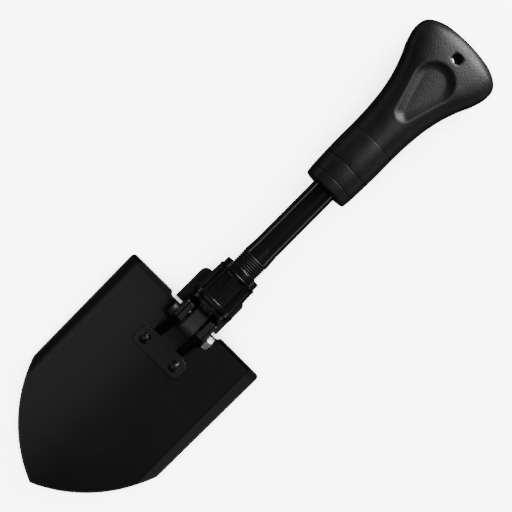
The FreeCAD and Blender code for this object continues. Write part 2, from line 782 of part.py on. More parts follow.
def make_collar():
    lip = "tube_radius + 3 * slide_gap"
    turned("wiper_ring", [
        ("wiper_front", lip), (SEAL_FRONT, lip), (SEAL_FRONT, SEAL_RADIUS),
        (SEAL_BACK, SEAL_RADIUS), (SEAL_BACK, "collet_nose + fit_gap"),
        ("wiper_back", "collet_nose + fit_gap"), ("wiper_back", "wiper_back_radius"),
        ("wiper_front + wiper_lip", "wiper_front_radius"),
        ("wiper_front", "wiper_front_radius - wiper_lip"),
    ])
    turned("tube_seal", tube_section(SEAL_FRONT, SEAL_BACK, TUBE_SLIDE, SEAL_RADIUS + " - fit_gap"))
    turned("collar_band", [
        ("wiper_back + seam_gap", "collar_bore"), ("band_back", "collar_bore"),
        ("band_back", "band_back_radius"), ("wiper_back + seam_gap", "wiper_back_radius"),
    ])
    turned("twist_collar", [
        ("band_back + seam_gap", "collar_bore"), ("collar_back", "collar_bore"),
        ("collar_back", "collar_back_radius"),
        ("(band_back + collar_back) / 2", "collar_mid_radius"),
        ("band_back + seam_gap", "band_back_radius"),
    ])


def make_collet():
    """A sleeve round the tube, split at its front, with a slot for the key."""
    body = new_body("Collet")
    section = sketch_on(body, "ColletSection", "YZ_Plane")
    draw_loop(section, [
        (SEAL_BACK, TUBE_SLIDE), (COLLET_BACK, TUBE_SLIDE), (COLLET_BACK, "liner_bore - fit_gap"),
        ("liner_front", "liner_bore - fit_gap"), ("liner_front", "collet_radius"),
        ("wiper_back", "collet_radius"), ("wiper_back", "collet_nose"), (SEAL_BACK, "collet_nose"),
    ])
    revolve(body, "ColletTurned", section)
    for name, role in (("FlatSlots", "YZ_Plane"), ("UprightSlots", "XY_Plane")):
        slot = sketch_on(body, name + "Outline", role, "-collet_radius")
        corners = [(SEAL_FRONT, "-collet_slot / 2"), ("collet_slot_end", "-collet_slot / 2"),
                   ("collet_slot_end", "collet_slot / 2"), (SEAL_FRONT, "collet_slot / 2")]
        if role == "XY_Plane":
            corners = [(up, across) for across, up in reversed(corners)]
        draw_loop(slot, corners)
        pocket(body, name, slot, "2 * collet_radius")
    slot = sketch_on(body, "KeySlotOutline", "XY_Plane", "-liner_bore")
    draw_loop(slot, [
        ("-key_half", "key_front"), ("key_half", "key_front"),
        ("key_half", "key_front + key_length"), ("-key_half", "key_front + key_length"),
    ])
    pocket(body, "KeySlot", slot, "liner_bore - tube_radius + groove_depth")
    return register(body, "collet", AXIS_LEVEL)


def make_key():
    box = doc.addObject("Part::Box", "KeyBlock")
    reach = "sqrt((liner_bore - slide_gap) ^ 2 - key_half ^ 2)"
    bind(box, Length="2 * (key_half - fit_gap)", Width="key_length - 2 * fit_gap",
         Height=reach + " - tube_radius + groove_depth - slide_gap")
    move_to(box, "-key_half + fit_gap", "key_front + fit_gap", "-" + reach)
    return register(group("KeyNode", [box]), "anti_turn_key", AXIS_LEVEL)


# ---------------------------------------------------------------- grip

def make_grip():
    """A loft of ellipses, bored for the liner, with a lanyard hole and a thumb scoop."""
    rings = []
    for name in ["front"] + [section[0] for section in GRIP_SECTIONS] + ["end"]:
        ring = doc.addObject("Part::Ellipse", name.title() + "Ring")
        ring.Placement = FreeCAD.Placement(FreeCAD.Vector(), TURN_TO["Y"])
        bind(ring, MajorRadius=name + "_half_width", MinorRadius=name + "_half_height")
        move_to(ring, "0", "grip_reach" if name == "end" else name + "_place", "0")
        rings.append(ring)
    loft = doc.addObject("Part::Loft", "GripLoft")
    loft.Sections = rings
    loft.Solid = True
    bore = cylinder("LinerBore", "collet_radius + fit_gap", "liner_back - front_place", "Y",
                    "0", "front_place", "0")
    hole = cylinder("LanyardHole", "lanyard_radius", "4 * front_half_height", "Z",
                    "0", "lanyard_place", "-2 * front_half_height")
    scoop = doc.addObject("Part::Ellipsoid", "ThumbScoop")
    bind(scoop, Radius1="scoop_half_height", Radius2="scoop_half_width",
         Radius3="scoop_half_length")
    move_to(scoop, "0", "scoop_centre", "palm_half_height - scoop_depth + scoop_half_height")
    tools = doc.addObject("Part::MultiFuse", "GripCutters")
    tools.Shapes = [bore, hole, scoop]
    register(cut("Grip", loft, tools), "grip_body", AXIS_LEVEL)

    turned("grip_liner", tube_section("liner_front", "liner_back", "liner_bore", "collet_radius"))
    turned("end_bumper", [
        ("liner_back - bumper_thick", "0"), ("liner_back", "0"),
        ("liner_back", "liner_bore - fit_gap"),
        ("liner_back - bumper_thick", "liner_bore - fit_gap"),
    ])


# ---------------------------------------------------------------- build, check and write

make_blade()
make_bracket()
make_cam_plate("right", "cam_inner")
make_cam_plate("left", "-(cam_inner + cam_thick)")
make_rivets()
make_bolt_set()
make_yoke()
make_hammer_plate()
make_tube()
make_shaft_fittings()
make_lock_nut()
make_nut_fittings()
make_collar()
make_collet()
make_key()
make_grip()

doc.recompute()
for item in doc.Objects:
    if "Invalid" in item.State or "Error" in item.State:
        raise RuntimeError("%s failed: %s" % (item.Name, item.State))

os.makedirs("parts", exist_ok=True)
for node in NODES:
    if node.Shape.isNull() or not node.Shape.isValid() or not node.Shape.Solids:
        raise RuntimeError(node.Label + " has no valid solid")
for node in NODES:
    node.Shape.exportStep("parts/%s.step" % node.Label)
    box = node.Shape.BoundBox
    print("%-18s %2d solid %9.1f mm3  X %6.1f %6.1f  Y %6.1f %6.1f  Z %5.1f %5.1f" % (
        node.Label, len(node.Shape.Solids), node.Shape.Volume,
        box.XMin, box.XMax, box.YMin, box.YMax, box.ZMin, box.ZMax))
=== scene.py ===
import json
import math

import bmesh
import bpy
from mathutils import Euler, Matrix, Vector
from mathutils.kdtree import KDTree


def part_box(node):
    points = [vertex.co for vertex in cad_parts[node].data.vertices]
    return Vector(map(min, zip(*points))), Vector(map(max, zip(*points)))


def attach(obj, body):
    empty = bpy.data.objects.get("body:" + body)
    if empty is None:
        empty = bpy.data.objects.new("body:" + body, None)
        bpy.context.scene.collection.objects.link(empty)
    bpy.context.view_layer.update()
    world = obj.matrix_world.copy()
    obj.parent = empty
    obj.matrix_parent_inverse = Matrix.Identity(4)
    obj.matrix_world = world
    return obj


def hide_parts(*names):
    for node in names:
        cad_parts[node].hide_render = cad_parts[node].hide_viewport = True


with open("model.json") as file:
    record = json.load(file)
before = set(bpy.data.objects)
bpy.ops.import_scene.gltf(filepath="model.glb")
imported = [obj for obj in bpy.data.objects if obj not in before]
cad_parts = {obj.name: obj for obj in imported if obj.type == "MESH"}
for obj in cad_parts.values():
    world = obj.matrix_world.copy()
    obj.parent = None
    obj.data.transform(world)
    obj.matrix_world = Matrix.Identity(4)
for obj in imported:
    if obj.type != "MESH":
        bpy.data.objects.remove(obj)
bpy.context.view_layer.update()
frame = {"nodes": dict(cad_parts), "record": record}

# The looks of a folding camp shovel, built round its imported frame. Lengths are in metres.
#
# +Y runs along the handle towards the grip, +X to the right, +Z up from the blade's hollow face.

MM = 0.001


# ---------------------------------------------------------------- places taken from the frame

def middle(node):
    low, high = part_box(node)
    return (low + high) / 2


AXIS_Z = middle("threaded_sleeve").z
PIN = middle("hinge_washers")


# ---------------------------------------------------------------- shader expressions

class Value:
    """A shader socket that takes part in Python arithmetic."""

    def __init__(self, finish, socket):
        self.finish = finish
        self.socket = socket

    def maths(self, operation, first, second):
        return self.finish.node("ShaderNodeMath", {"operation": operation}, {0: first, 1: second})

    def __add__(self, other):
        return self.maths("ADD", self, other)

    def __radd__(self, other):
        return self.maths("ADD", other, self)

    def __sub__(self, other):
        return self.maths("SUBTRACT", self, other)

    def __rsub__(self, other):
        return self.maths("SUBTRACT", other, self)

    def __mul__(self, other):
        return self.maths("MULTIPLY", self, other)

    def __rmul__(self, other):
        return self.maths("MULTIPLY", other, self)

    def __pow__(self, other):
        return self.maths("POWER", self, other)


class Finish:
    """A material for one record slot, with its shader and the patterns that vary over it."""

    def __init__(self, name, metallic=0.0, specular=0.5, coat=0.0, coat_roughness=0.1):
        self.name = name
        self.material = bpy.data.materials.new(name)
        self.material.use_nodes = True
        self.tree = self.material.node_tree
        self.shader = self.tree.nodes["Principled BSDF"]
        self.shader.inputs["Metallic"].default_value = metallic
        self.shader.inputs["Specular IOR Level"].default_value = specular
        self.shader.inputs["Coat Weight"].default_value = coat
        self.shader.inputs["Coat Roughness"].default_value = coat_roughness
        self.place = self.node("ShaderNodeTexCoord", {}, {}, "Object")

    def node(self, kind, settings, inputs, output=0):
        """Add a node: settings first, then the values or links of its sockets."""
        made = self.tree.nodes.new(kind)
        for name, setting in settings.items():
            if name == "stops":
                self.set_stops(made.color_ramp, setting)
            else:
                setattr(made, name, setting)
        for name, value in inputs.items():
            self.plug(self.usable(made.inputs, name), value)
        return Value(self, self.usable(made.outputs, output))

    @staticmethod
    def usable(sockets, name):
        if isinstance(name, int):
            return sockets[name]
        return next(item for item in sockets if item.name == name and item.enabled)

    @staticmethod
    def set_stops(ramp, stops):
        while len(ramp.elements) < len(stops):
            ramp.elements.new(1.0)
        for element, (place, shade) in zip(ramp.elements, stops):
            element.position = place
            element.color = (shade, shade, shade, 1.0)

    def plug(self, socket, value):
        if isinstance(value, Value):
            self.tree.links.new(value.socket, socket)
        else:
            socket.default_value = value

    def set(self, name, value):
        self.plug(self.shader.inputs[name], value)

    def stretched(self, x, y, z):
        """The place, squeezed or stretched along the object's axes."""
        return self.node("ShaderNodeVectorMath", {"operation": "MULTIPLY"},
                         {0: self.place, 1: (x, y, z)})

    def noise(self, scale, detail=2.0, roughness=0.5, place=None):
        return self.node("ShaderNodeTexNoise", {}, {
            "Vector": place or self.place, "Scale": scale, "Detail": detail,
            "Roughness": roughness}, "Fac")

    def cells(self, scale, feature="F1"):
        return self.node("ShaderNodeTexVoronoi", {"feature": feature},
                         {"Vector": self.place, "Scale": scale}, "Distance")

    def ramp(self, value, *stops):
        return self.node("ShaderNodeValToRGB", {"stops": stops}, {"Fac": value}, "Color")

    def mixed(self, first, second, factor):
        return self.node("ShaderNodeMix", {"data_type": "RGBA"},
                         {"Factor": factor, "A": first, "B": second}, "Result")

    def attribute(self, name):
        return self.node("ShaderNodeAttribute", {"attribute_name": name}, {}, "Fac")

    def bump(self, height, distance):
        normal = self.node("ShaderNodeBump", {}, {
            "Height": height, "Distance": distance, "Strength": 1.0}, "Normal")
        self.set("Normal", normal)


def grey(level, warmth=0.0):
    return (level * (1 + warmth), level, level * (1 - warmth), 1.0)


# ---------------------------------------------------------------- finishes

def painted(name, level, gloss, peel=700.0, relief=0.00003, **shader):
    """Black paint on steel: orange peel, drifting tone, hairline scuffs and a little dust."""
    coat = Finish(name, **shader)
    skin = coat.noise(peel, 3.0, 0.6)
    drift = coat.noise(24.0, 4.0, 0.55)
    hairs = coat.noise(1.0, 6.0, 0.7, coat.stretched(900.0, 55.0, 900.0))
    scuffs = coat.ramp(hairs, (0.60, 0.0), (0.72, 1.0)) * coat.ramp(drift, (0.45, 0.0), (0.68, 1.0))
    dust = coat.ramp(coat.noise(2600.0, 2.0), (0.66, 0.0), (0.78, 1.0))
    toned = coat.mixed(grey(level * 0.75), grey(level * 1.25, 0.02), drift)
    marked = coat.mixed(toned, grey(level * 3.2 + 0.006), 0.35 * scuffs)
    coat.set("Base Color", coat.mixed(marked, grey(0.05, 0.06), 0.12 * dust))
    coat.set("Roughness", gloss + 0.10 * drift - 0.04 * skin + 0.16 * scuffs)
    coat.bump(skin - 0.25 * scuffs, relief)
    return coat


def blade_paint():
    """Satin stove paint, thinner and lighter along the blade's worn border."""
    coat = painted("blade_paint", 0.004, 0.19, peel=420.0, relief=0.000012)
    base = coat.shader.inputs["Base Color"].links[0].from_socket
    border = coat.attribute("border")
    chips = coat.ramp(border * coat.noise(330.0, 5.0, 0.7), (0.34, 0.0), (0.47, 1.0))
    worn = coat.mixed(Value(coat, base), grey(0.035, 0.03), 0.35 * border ** 2)
    coat.set("Base Color", coat.mixed(worn, grey(0.11, 0.03), 0.30 * chips))
    return coat


def fastener(name, level, gloss, metallic, grain):
    """Plated or blackened steel with fine turning marks and handling stains."""
    metal = Finish(name, metallic=metallic)
    turning = metal.noise(grain, 4.0, 0.65, metal.stretched(6.0, 1.0, 1.0))
    stain = metal.noise(260.0, 4.0, 0.6)
    specks = metal.ramp(metal.cells(900.0), (0.10, 1.0), (0.24, 0.0))
    clean = metal.mixed(grey(level), grey(level * 0.62, 0.04), metal.ramp(stain, (0.42, 0.0), (0.7, 1.0)))
    metal.set("Base Color", metal.mixed(clean, grey(level * 0.30, 0.08), 0.40 * specks))
    metal.set("Roughness", gloss + 0.20 * stain + 0.10 * turning)
    metal.bump(turning - 0.5 * specks, 0.00004)
    return metal


def moulded(name, level, gloss, grain, relief, specular=0.4):
    """Moulded nylon: spark-eroded grain, flow marks and faint rubbed patches."""
    plastic = Finish(name, specular=specular)
    pits = plastic.cells(grain, "SMOOTH_F1")
    fibres = plastic.noise(grain * 0.7, 5.0, 0.7)
    flow = plastic.noise(38.0, 3.0, 0.5, plastic.stretched(1.0, 0.35, 1.0))
    rubbed = plastic.ramp(plastic.noise(70.0, 5.0, 0.65), (0.52, 0.0), (0.74, 1.0))
    toned = plastic.mixed(grey(level * 0.8), grey(level * 1.3, 0.01), flow)
    speckled = plastic.mixed(toned, grey(level * 2.4), plastic.ramp(fibres, (0.55, 0.0), (0.72, 0.5)))
    plastic.set("Base Color", plastic.mixed(speckled, grey(level * 1.9 + 0.002), 0.25 * rubbed))
    plastic.set("Roughness", gloss + 0.12 * fibres - 0.14 * rubbed)
    plastic.bump(pits + 0.8 * fibres, relief)
    return plastic


def fibre_washer():
    """Pressed black fibre with short flecks."""
    board = Finish("fibre_washer", specular=0.3)
    flecks = board.noise(1.0, 5.0, 0.7, board.stretched(2400.0, 700.0, 700.0))
    board.set("Base Color", board.mixed(grey(0.008, 0.03), grey(0.022, 0.04), flecks))
    board.set("Roughness", 0.62 + 0.2 * flecks)
    board.bump(flecks, 0.00008)
    return board


def bronze_bush():
    """Porous sintered bronze, darkened by oil."""
    bronze = Finish("bronze_bush", metallic=1.0)
    pores = bronze.ramp(bronze.cells(2600.0), (0.08, 1.0), (0.30, 0.0))
    oil = bronze.noise(300.0, 4.0)
    tone = bronze.mixed((0.42, 0.24, 0.10, 1.0), (0.16, 0.09, 0.04, 1.0), oil)
    bronze.set("Base Color", bronze.mixed(tone, (0.03, 0.02, 0.012, 1.0), 0.7 * pores))
    bronze.set("Roughness", 0.30 + 0.25 * oil)
    bronze.bump(1 - pores, 0.00005)
    return bronze


def seal_rubber():
    """Matt rubber with bloom and fine mould lines."""
    rubber = Finish("seal_rubber", specular=0.25)
    bloom = rubber.noise(160.0, 5.0, 0.6)
    grain = rubber.noise(3200.0, 2.0)
    rubber.set("Base Color", rubber.mixed(grey(0.007), grey(0.026, 0.02), bloom))
    rubber.set("Roughness", 0.68 + 0.18 * bloom)
    rubber.bump(grain, 0.00004)
    return rubber


FINISHES = {made.name: made.material for made in (
    blade_paint(),
    painted("bracket_paint", 0.010, 0.30, peel=520.0),
    painted("rivet_paint", 0.010, 0.22, peel=900.0),
    # The yoke's black paint is four times lighter than the bracket's: a painted highlight standing in for
    # the light caught on the tongue's flat top and the neck.
    painted("yoke_paint", 0.040, 0.26, peel=650.0),
    painted("tube_gloss_paint", 0.006, 0.10, peel=300.0, relief=0.000008, coat=0.6, coat_roughness=0.06),
    fastener("black_bolt", 0.020, 0.30, 0.6, 2200.0),
    fastener("thread_black", 0.030, 0.28, 0.6, 2600.0),
    fastener("zinc_steel", 0.72, 0.18, 1.0, 2000.0),
    fastener("insert_steel", 0.45, 0.26, 1.0, 2400.0),
    fastener("liner_aluminium", 0.66, 0.28, 1.0, 1800.0),
    moulded("nut_black", 0.004, 0.15, 1500.0, 0.00003, specular=0.5),
    moulded("ring_black", 0.005, 0.18, 1500.0, 0.00003, specular=0.5),
    moulded("collar_nylon", 0.006, 0.40, 1300.0, 0.00009),
    moulded("grip_nylon", 0.005, 0.38, 1150.0, 0.00011),
    moulded("slide_plastic", 0.012, 0.42, 1700.0, 0.00004),
    fibre_washer(),
    bronze_bush(),
    seal_rubber(),
)}


# How a carried-over node's edges are rounded.
WELD_DISTANCE = 0.002 * MM
FLAT_ANGLE = math.radians(1)
SHARP_ANGLE = math.radians(38)
EDGE_SEGMENTS = 2
SHADING_WEIGHT = 90


def dress(node, slot):
    """Give a carried-over node its finish."""
    for item in frame["nodes"][node].material_slots:
        item.link = "OBJECT"
        item.material = FINISHES[slot]


def soften(node, width):
    """Round a carried-over node's sharp edges, with its mesh left as it is."""
    piece = frame["nodes"][node]
    weld = piece.modifiers.new("Weld", "WELD")
    weld.merge_threshold = WELD_DISTANCE
    flats = piece.modifiers.new("Flats", "DECIMATE")
    flats.decimate_type = "DISSOLVE"
    flats.angle_limit = FLAT_ANGLE
    bevel = piece.modifiers.new("Edges", "BEVEL")
    bevel.limit_method = "ANGLE"
    bevel.angle_limit = SHARP_ANGLE
    bevel.width = width
    bevel.segments = EDGE_SEGMENTS
    shading = piece.modifiers.new("Shading", "WEIGHTED_NORMAL")
    shading.mode = "FACE_AREA"
    shading.weight = SHADING_WEIGHT


# The rounding of each softened node's edges, in millimetres.
EDGE_OF = {
    "hinge_bracket": 0.45, "cam_plate_left": 0.6, "cam_plate_right": 0.6, "yoke": 0.35,
    "hammer_plate": 0.5, "hinge_washers": 0.2, "thrust_ring": 0.4, "thrust_washer": 0.2,
}
SLOT_OF = {part["node"]: part["material_slot"] for part in frame["record"]["subparts"]}


# ---------------------------------------------------------------- mesh building

def new_piece(name, points, faces, body, replaced, sharp=38.0):
    """A smooth-shaded mesh that rides on a body and stands for one CAD node."""
    mesh = bpy.data.meshes.new(name)
    mesh.from_pydata(points, [], faces)
    work = bmesh.new()
    work.from_mesh(mesh)
    bmesh.ops.remove_doubles(work, verts=work.verts, dist=0.0005 * MM)
    bmesh.ops.recalc_face_normals(work, faces=work.faces)
    work.to_mesh(mesh)
    work.free()
    mesh.shade_smooth()
    mesh.set_sharp_from_angle(angle=math.radians(sharp))
    piece = bpy.data.objects.new(name, mesh)
    bpy.context.scene.collection.objects.link(piece)
    slot = SLOT_OF[replaced]
    mesh.materials.append(FINISHES[slot])
    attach(piece, body)
    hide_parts(replaced)
    return piece


ROUND_STEPS = 96
CORNER_STEPS = 4


def evenly(count):
    """Turns at equal steps round a circle."""
    return [2 * math.pi * step / count for step in range(count)]


def quarter(steps):
    """Tilts from nothing to a quarter of a circle."""
    return [math.pi / 2 * step / steps for step in range(steps + 1)]


def off_axis(radius, along, turn):
    """A point at a radius from the tube's axis."""
    return Vector((radius * math.sin(turn), along, AXIS_Z + radius * math.cos(turn)))


def skin(rings, closed=True):
    """Points and faces of a skin over rings of equal length; closed joins the last to the first."""
    count = len(rings[0])
    points = [point for ring in rings for point in ring]
    faces = []
    for row in range(len(rings) if closed else len(rings) - 1):
        here, there = row * count, (row + 1) % len(rings) * count
        for column in range(count):
            beside = (column + 1) % count
            faces.append((here + column, here + beside, there + beside, there + column))
    return points, faces


def rounded(corners):
    """A closed section of (along, radius, rounding) corners, each turned into a short curve."""
    section = []
    for number, corner in enumerate(corners):
        here = Vector(corner[:2])
        if len(corner) == 2:
            section.append(here)
            continue
        ends = []
        for other in (corners[number - 1], corners[(number + 1) % len(corners)]):
            way = Vector(other[:2]) - here
            ends.append(here + way.normalized() * min(corner[2], way.length * 0.49))
        for step in range(CORNER_STEPS + 1):
            share = step / CORNER_STEPS
            first, last = ends[0].lerp(here, share), here.lerp(ends[1], share)
            section.append(first.lerp(last, share))
    return section


def turned_about_y(name, corners, body, replaced):
    """A turned piece about the tube's axis."""
    rings = [[off_axis(radius, along, turn) for turn in evenly(ROUND_STEPS)]
             for along, radius in rounded(corners)]
    new_piece(name, *skin(rings), body, replaced)


def smoothstep(low, high, value):
    share = min(max((value - low) / (high - low), 0.0), 1.0)
    return share * share * (3 - 2 * share)


def through(points, steps):
    """Points along a smooth curve through the given ones, as tuples."""
    curve = []
    last = len(points) - 1
    for number in range(last):
        before, start, end, after = (points[min(max(number + shift, 0), last)] for shift in (-1, 0, 1, 2))
        for step in range(steps):
            share = step / steps
            curve.append(tuple(
                0.5 * (2 * q + (r - p) * share + (2 * p - 5 * q + 4 * r - w) * share ** 2
                       + (3 * q - p - 3 * r + w) * share ** 3)
                for p, q, r, w in zip(before, start, end, after)))
    curve.append(points[-1])
    return curve


# ---------------------------------------------------------------- blade

FLANGE_WIDTH = 7.0 * MM
FLANGE_RISE = 2.8 * MM
SHEET = 2.0 * MM
SHOULDER_FROM_TIP = 63.1 * MM
SHOULDER_INSET = 1.3 * MM
FRONT_RADIUS = 105.0 * MM
NOTCH_HALF = 21.2 * MM
NOTCH_DEPTH = 2.6 * MM
LIP_WIDTH = 2.2 * MM
LIP_RISE = 0.9 * MM
GROUND_WIDTH = 6.0 * MM
GROUND_LOSS = 1.3 * MM
BACK_CORNER = 3.0 * MM
NOTCH_FADE = 12 * MM
WORN_FROM, WORN_TO = 0.2 * MM, 2.6 * MM
FRONT_ROWS = 60
BACK_ROWS = 64
HALF_COLUMNS = 56


def make_blade():
    """A pressed sheet with soft side flanges, a ground front edge and a turned-up back lip."""
    low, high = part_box("blade")
    tip, back, half = low.y, high.y, high.x
    face = high.z - FLANGE_RISE
    shoulder = Vector((half - SHOULDER_INSET, tip + SHOULDER_FROM_TIP))
    chord = shoulder - Vector((0, tip))
    reach = math.sqrt(FRONT_RADIUS ** 2 - (chord.length / 2) ** 2)
    centre = Vector((0, tip)) + chord / 2 + Vector((-chord.y, chord.x)).normalized() * reach

    def half_at(along):
        """Half the blade's width at a place along it."""
        if along <= shoulder.y:
            return centre.x + math.sqrt(max(FRONT_RADIUS ** 2 - (along - centre.y) ** 2, 0.0))
        width = shoulder.x + (half - shoulder.x) * (along - shoulder.y) / (back - shoulder.y)
        into = max(BACK_CORNER - (back - along), 0.0)
        return width - BACK_CORNER + math.sqrt(BACK_CORNER ** 2 - into ** 2)

    def front_gap(across, along):
        """How far a point lies inside the front edge."""
        if along > shoulder.y:
            return math.hypot(across - shoulder.x, along - shoulder.y)
        return FRONT_RADIUS - math.hypot(across - centre.x, along - centre.y)

    front_rows = [tip + (shoulder.y - tip) * (step / FRONT_ROWS) ** 1.6
                  for step in range(FRONT_ROWS + 1)]
    back_rows = [shoulder.y + (back - shoulder.y) * smoothstep(-0.4, 1.0, step / BACK_ROWS)
                 for step in range(1, BACK_ROWS + 1)]
    start = smoothstep(-0.4, 1.0, 0.0)
    back_rows = [shoulder.y + (row - shoulder.y - start * (back - shoulder.y)) / (1 - start)
                 for row in back_rows]
    shares = [math.sin(math.pi / 2 * step / HALF_COLUMNS)
              for step in range(-HALF_COLUMNS, HALF_COLUMNS + 1)]
    rows = front_rows + back_rows
    top, under, border = [], [], []
    for along in rows:
        width = max(half_at(along), 0.02 * MM)
        for share in shares:
            across = abs(share) * width
            notch = NOTCH_DEPTH * (1 - smoothstep(NOTCH_HALF, NOTCH_HALF + NOTCH_DEPTH, across))
            place = along - notch * smoothstep(back - NOTCH_FADE, back, along)
            into_flange = (across - half + FLANGE_WIDTH) / FLANGE_WIDTH
            rise = FLANGE_RISE * (into_flange + math.sqrt(into_flange ** 2 + 0.02)) / 2.02
            from_back = back - notch - place
            lip = LIP_RISE * smoothstep(LIP_WIDTH, 0.6 * LIP_WIDTH, from_back)
            crease = 0.12 * MM * math.exp(-((from_back - 1.35 * LIP_WIDTH) / (0.3 * LIP_WIDTH)) ** 2)
            level = face + min(rise, FLANGE_RISE) + lip - crease
            gap = max(front_gap(across, along), 0.0)
            ground = GROUND_LOSS * (1 - smoothstep(0.0, GROUND_WIDTH, gap))
            top.append(Vector((share * width, place, level)))
            under.append(Vector((share * width, place, level - SHEET + ground)))
            side_gap = min(gap, width - across, from_back)
            border.append(1 - smoothstep(WORN_FROM, WORN_TO, side_gap))
    columns = len(shares)
    total = len(top)
    faces = []
    for row in range(len(rows) - 1):
        for column in range(columns - 1):
            first = row * columns + column
            quad = (first, first + 1, first + columns + 1, first + columns)
            faces.append(quad)
            faces.append(tuple(total + corner for corner in reversed(quad)))
    rim = [row * columns for row in range(len(rows))]
    rim += [(len(rows) - 1) * columns + column for column in range(1, columns)]
    rim += [row * columns + columns - 1 for row in range(len(rows) - 2, -1, -1)]
    rim += [column for column in range(columns - 2, 0, -1)]
    for number, corner in enumerate(rim):
        other = rim[(number + 1) % len(rim)]
        faces.append((corner, other, total + other, total + corner))
    piece = new_piece("blade_sheet", top + under, faces, "blade", "blade", sharp=30.0)
    shade = piece.data.attributes.new("border", "FLOAT", "POINT")
    nearest = KDTree(2 * total)
    for number, point in enumerate(top + under):
        nearest.insert(point, number)
    nearest.balance()
    for number, vertex in enumerate(piece.data.vertices):
        shade.data[number].value = border[nearest.find(vertex.co)[1] % total]
    bevel = piece.modifiers.new("Edges", "BEVEL")
    bevel.limit_method = "ANGLE"
    bevel.angle_limit = math.radians(50)
    bevel.width = 0.35 * MM
    bevel.segments = EDGE_SEGMENTS


# ---------------------------------------------------------------- hinge bolt and nut

def make_hex_nut():
    """A chamfered hexagon nut on the hinge bolt, square faces turned a quarter of a flat."""
    low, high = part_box("hinge_nut")
    flats, bore = 5.0 * MM, 3.05 * MM
    chamfer, turn_offset = 0.9 * MM, math.radians(15)
    depth = high.x - low.x

    def at(turn, station, cone):
        side = (turn - turn_offset) % (math.pi / 3) - math.pi / 6
        radius = min(flats / math.cos(side), cone)
        return Vector((station, PIN.y + radius * math.cos(turn), PIN.z + radius * math.sin(turn)))

    corner = flats / math.cos(math.pi / 6)
    stations = [(low.x, flats * 0.97), (low.x + 0.35 * chamfer, flats * 1.06),
                (low.x + chamfer, corner), (high.x - chamfer, corner),
                (high.x - 0.35 * chamfer, flats * 1.06), (high.x, flats * 0.97)]
    rings = [[at(turn, station, cone) for turn in evenly(ROUND_STEPS)] for station, cone in stations]
    for station, radius in ((high.x, bore + 0.4 * MM), (high.x - 0.12 * depth, bore),
                            (low.x + 0.12 * depth, bore), (low.x, bore + 0.4 * MM)):
        rings.append([at(turn, station, radius) for turn in evenly(ROUND_STEPS)])
    new_piece("hex_nut", *skin(rings), "blade", "hinge_nut", sharp=28.0)


def make_hinge_bolt():
    """A cap bolt: domed rim, hexagon socket in the head and a chamfered thread end."""
    low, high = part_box("hinge_bolt")
    head, shank, rise = (high.z - low.z) / 2, 3.0 * MM, 3.4 * MM
    under = low.x + rise
    socket, depth = 2.5 * MM, 2.0 * MM

    def ring(station, radius, six=False):
        made = []
        for turn in evenly(ROUND_STEPS):
            side = turn % (math.pi / 3) - math.pi / 6
            reach = radius / math.cos(side) if six else radius
            made.append(Vector((station, PIN.y + reach * math.cos(turn), PIN.z + reach * math.sin(turn))))
        return made

    rings = [ring(low.x + depth, 0.02 * MM), ring(low.x + depth, socket, True),
             ring(low.x + 0.25 * MM, socket, True), ring(low.x, socket + 0.4 * MM)]
    rings += [ring(low.x + 0.9 * MM * (1 - math.cos(tilt)), head - 0.9 * MM * (1 - math.sin(tilt)))
              for tilt in quarter(6)]
    rings += [ring(under - 0.25 * MM, head), ring(under, head - 0.25 * MM), ring(under, shank)]
    pitch, thread_start = 0.8 * MM, high.x - 7.0 * MM
    rings.append(ring(thread_start, shank))
    turns = int((high.x - 0.5 * MM - thread_start) / pitch)
    for number in range(turns):
        for share, radius in ((0.25, shank - 0.35 * MM), (0.5, shank - 0.35 * MM), (0.9, shank)):
            rings.append(ring(thread_start + (number + share) * pitch, radius))
    rings += [ring(high.x - 0.5 * MM, shank), ring(high.x, shank - 0.5 * MM), ring(high.x, 0.02 * MM)]
    new_piece("cap_bolt", *skin(rings, closed=False), "blade", "hinge_bolt", sharp=32.0)


# ---------------------------------------------------------------- threaded sleeve

THREAD_PITCH = 1.7 * MM
THREAD_DEPTH = 0.85 * MM
THREAD_WALL = 1.7 * MM
THREAD_RUN_OUT = 1.2 * MM
THREAD_STEPS = 72
ROWS_PER_PITCH = 11


def make_thread():
    """A coarse rounded thread on the sleeve, running out at both ends."""
    low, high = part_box("threaded_sleeve")
    crest, bore = high.x, high.x - THREAD_WALL
    rows = round((high.y - low.y) / (THREAD_PITCH / ROWS_PER_PITCH))

    def radius_at(along, turn):
        phase = ((along - low.y) / THREAD_PITCH - turn / (2 * math.pi)) % 1.0
        height = smoothstep(0.08, 0.40, phase) * (1 - smoothstep(0.60, 0.92, phase))
        run_out = (smoothstep(0.0, THREAD_RUN_OUT, along - low.y)
                   * smoothstep(0.0, THREAD_RUN_OUT, high.y - along))
        return crest - THREAD_DEPTH * (1 - height) * run_out - 0.35 * MM * (1 - run_out)

    rings = []
    for row in range(rows + 1):
        along = low.y + (high.y - low.y) * row / rows
        rings.append([off_axis(radius_at(along, turn), along, turn) for turn in evenly(THREAD_STEPS)])
    for along in (high.y, low.y):
        rings.append([off_axis(bore, along, turn) for turn in evenly(THREAD_STEPS)])
    new_piece("coarse_thread", *skin(rings), "shaft", "threaded_sleeve", sharp=70.0)


# ---------------------------------------------------------------- lock nut

RIB_COUNT = 10
GROOVE_PHASE = math.radians(14.3)
GROOVE_HALF = math.radians(14.0)
GROOVE_DEPTH = 1.75 * MM
GROOVE_SQUARENESS = 3.0
GROOVE_END = 2.6 * MM
RIM_DEPTH = 4.1 * MM
BACK_COLLAR = 5.25 * MM
BACK_COLLAR_RADIUS = 14.05 * MM


